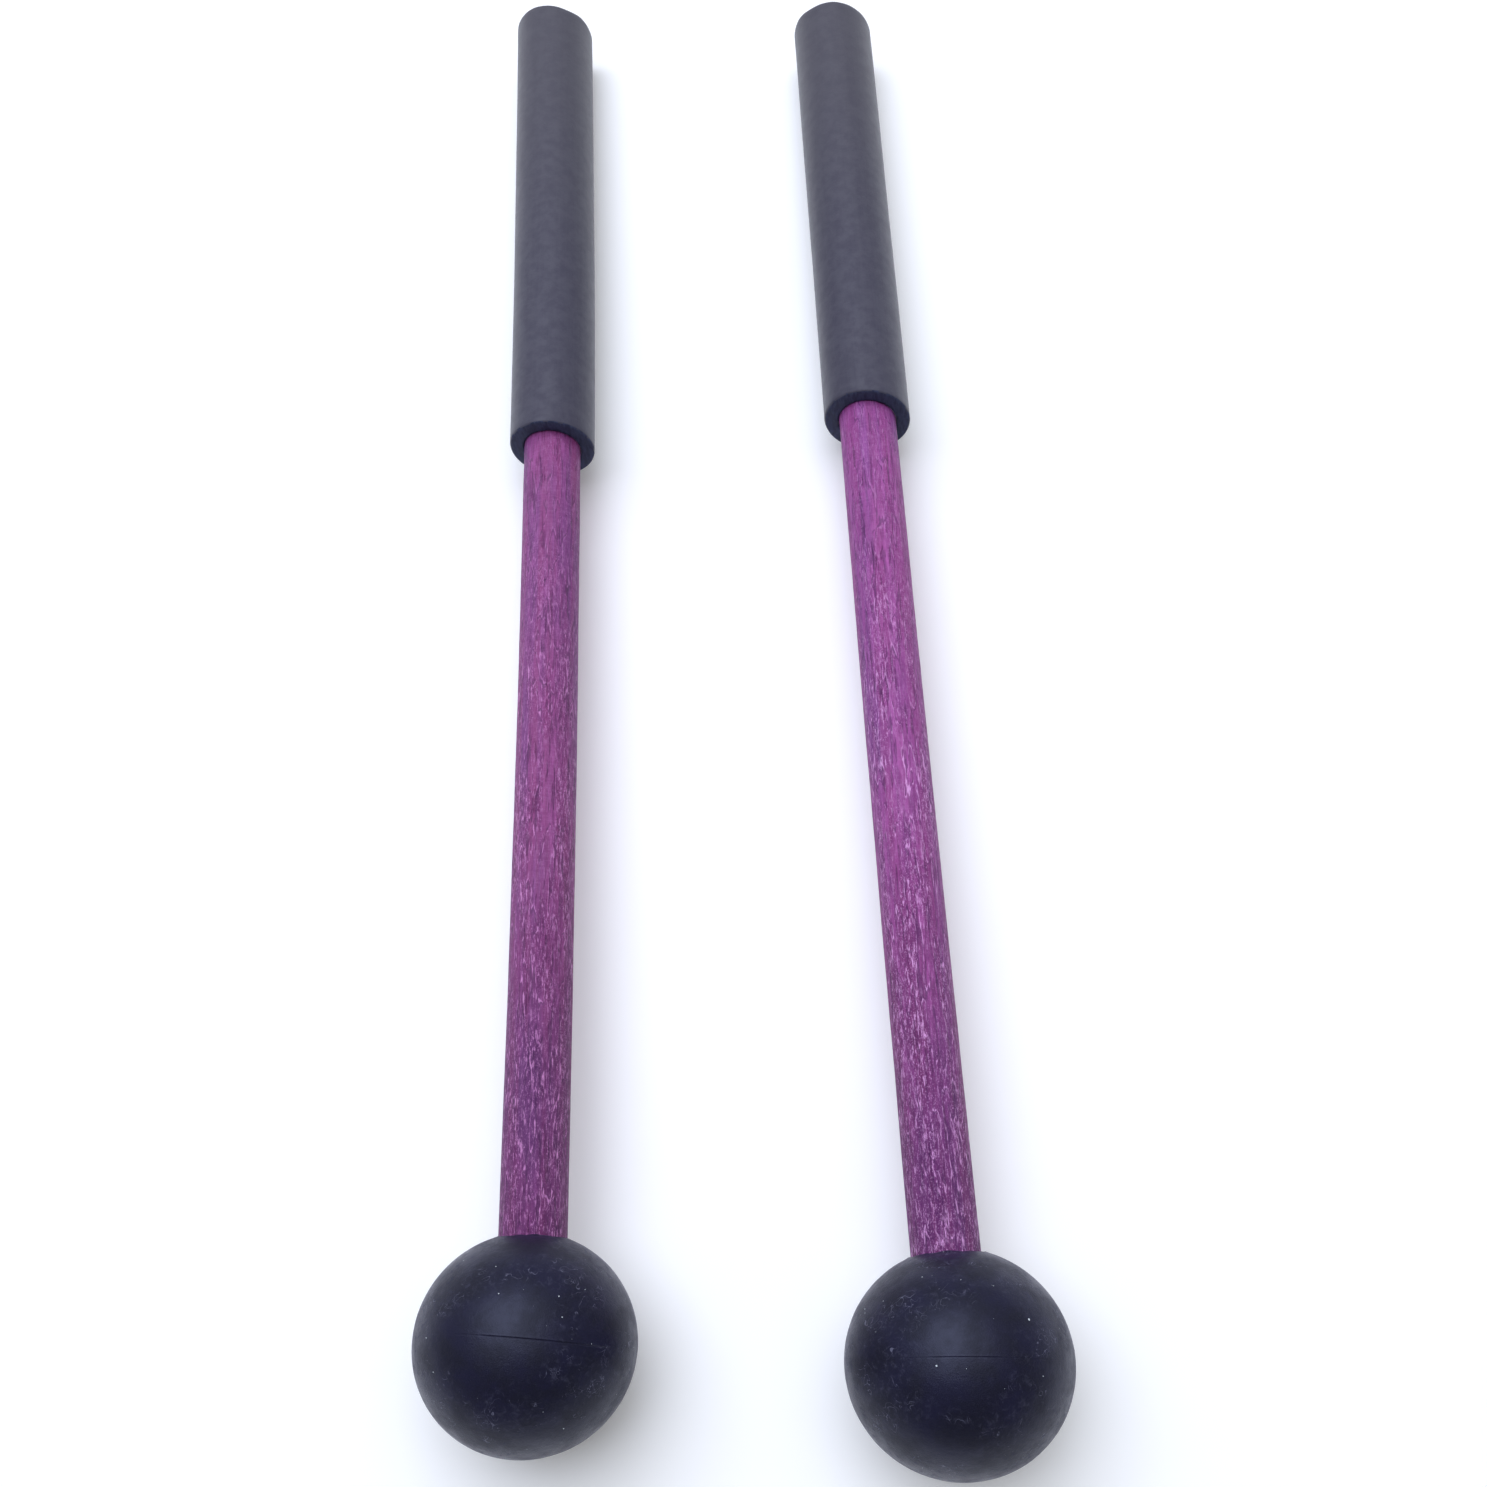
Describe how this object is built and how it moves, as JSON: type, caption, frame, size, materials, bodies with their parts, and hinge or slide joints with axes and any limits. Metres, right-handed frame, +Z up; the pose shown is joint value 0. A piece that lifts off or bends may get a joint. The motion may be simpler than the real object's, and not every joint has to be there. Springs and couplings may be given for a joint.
{
  "type": "percussion mallet pair",
  "caption": "Pair of percussion mallets: moulded rubber balls glued on slim dyed wooden dowels, with rubber tube grips, lying side by side.",
  "frame": {"origin": "under the middle of the pair, on the surface that both mallets lie on", "axes": "+X from the left mallet to the right one, +Y from the balls to the grips, +Z up"},
  "size_m": [0.0634, 0.1927, 0.0218],
  "materials": {
    "dyed_wood": "purple dye soaked into bare, slightly fibrous wood, unvarnished",
    "ball_rubber": "dense moulded rubber, near black with a blue cast, satin, dusty in places",
    "grip_rubber": "matt slate grey tube with a faint violet cast",
    "cured_glue": "clear amber adhesive"
  },
  "bodies": {
    "left_mallet": {"left_dowel": "dyed_wood", "left_ball": "ball_rubber", "left_glue": "cured_glue", "left_grip": "grip_rubber"},
    "right_mallet": {"right_dowel": "dyed_wood", "right_ball": "ball_rubber", "right_glue": "cured_glue", "right_grip": "grip_rubber"}
  },
  "joints": [
    {"name": "right_mallet_lift", "type": "slide", "parent": "left_mallet", "child": "right_mallet", "axis": [0, 0, 1], "range_m": [0, 0.06]}
  ]
}
